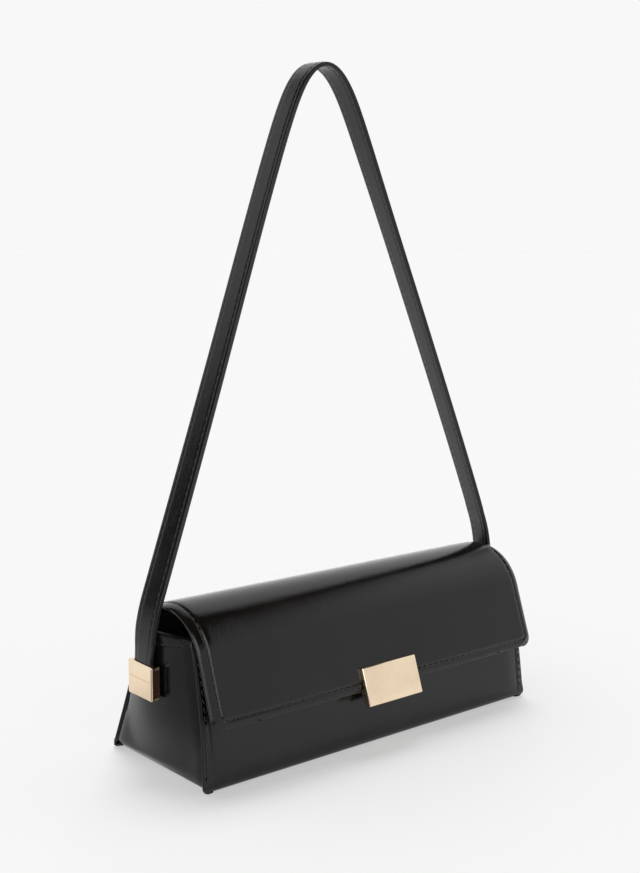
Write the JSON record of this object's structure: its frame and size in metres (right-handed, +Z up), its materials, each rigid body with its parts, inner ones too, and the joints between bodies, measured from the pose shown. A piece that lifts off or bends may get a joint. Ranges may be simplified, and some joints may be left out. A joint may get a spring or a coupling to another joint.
{
  "type": "shoulder bag",
  "caption": "Long boxy leather shoulder bag with an arched fold-over flap, a plate lock at the flap's edge and a single strap that turns on metal side blocks.",
  "frame": {"origin": "middle of the bag's underside, halfway along its length and halfway across the base, on the surface it stands on", "axes": "+X along the bag to the right seen from the front, -Y towards the flap's front and its lock, +Z up along the strap"},
  "size_m": [0.285, 0.1109, 0.408],
  "materials": {
    "wall_leather": "polished smooth calf, near black",
    "flap_leather": "polished smooth calf, near black, a little warmer",
    "strap_leather": "polished smooth calf, two stitched rows",
    "lining_cloth": "matt dark cloth",
    "board": "matt stiffening board",
    "padding": "needled felt padding",
    "gold_metal": "polished pale gold plating",
    "steel": "plain turned steel",
    "magnet": "nickel plated magnet"
  },
  "bodies": {
    "bag": {"front_panel": "wall_leather", "back_panel": "wall_leather", "base_panel": "wall_leather", "front_board": "board", "back_board": "board", "base_board": "board", "front_lining": "lining_cloth", "back_lining": "lining_cloth", "base_lining": "lining_cloth", "left_gusset": "wall_leather", "right_gusset": "wall_leather", "left_gusset_pad": "padding", "right_gusset_pad": "padding", "left_gusset_lining": "lining_cloth", "right_gusset_lining": "lining_cloth", "left_rim_binding": "wall_leather", "right_rim_binding": "wall_leather", "backing_plates": "steel", "keeper": "gold_metal", "keeper_magnet": "magnet", "keeper_washer": "steel"},
    "flap": {"flap_leather": "flap_leather", "flap_board": "board", "flap_lining": "lining_cloth", "lock_plate": "gold_metal", "lock_body": "gold_metal", "lock_magnet": "magnet", "lock_screws": "steel"},
    "strap": {"strap_outer": "strap_leather", "strap_inner": "strap_leather", "strap_core": "board", "left_block": "gold_metal", "right_block": "gold_metal", "pivot_studs": "steel", "strap_rivets": "steel"}
  },
  "joints": [
    {"name": "flap_hinge", "type": "hinge", "parent": "bag", "child": "flap", "pos_m": [0, 0.01207, 0.09461], "axis": [-1, 0, 0], "range_deg": [0, 200], "deforming": ["strap_outer", "strap_inner", "strap_core"]},
    {"name": "strap_swing", "type": "hinge", "parent": "bag", "child": "strap", "pos_m": [0, 0, 0.056], "axis": [-1, 0, 0], "range_deg": [-60, 97.5]}
  ]
}
